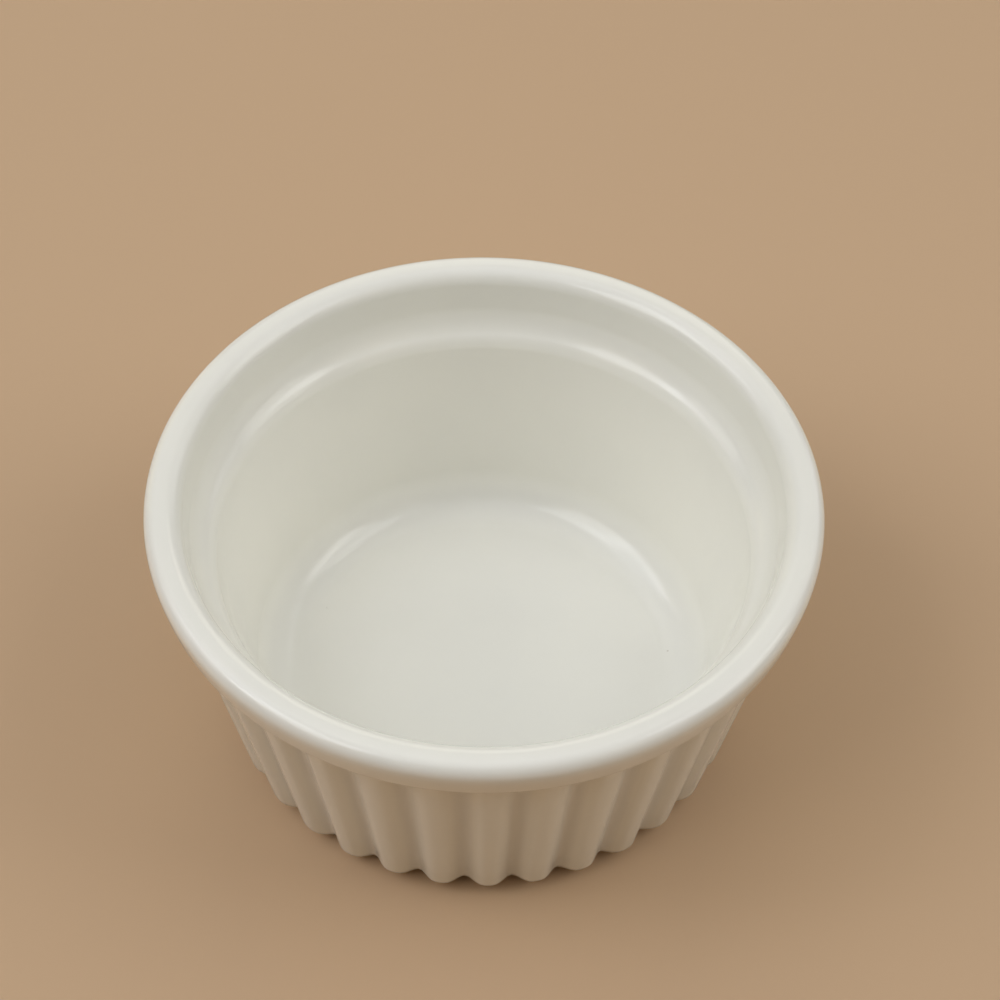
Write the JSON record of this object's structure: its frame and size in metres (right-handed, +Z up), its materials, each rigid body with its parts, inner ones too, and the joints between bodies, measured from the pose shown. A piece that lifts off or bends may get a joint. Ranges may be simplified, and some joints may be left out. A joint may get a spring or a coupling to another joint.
{
  "type": "ramekin",
  "caption": "Small round fluted porcelain baking dish with a plain collar, rolled rim, inner shoulder, tapering smooth inside and a bare foot ring.",
  "frame": {"origin": "on the table, at the middle of the foot ring", "axes": "+Z up along the dish's axis; a groove of the fluting lies on -Y, the side turned to the camera"},
  "size_m": [0.09, 0.09, 0.0435],
  "materials": {
    "fired_clay": "bare fired porcelain, matt and slightly rough where the foot ring shows",
    "white_glaze": "warm off-white glossy glaze"
  },
  "bodies": {
    "root": {"porcelain_body": "fired_clay", "glaze_coat": "white_glaze", "base_glaze": "white_glaze"}
  },
  "joints": []
}
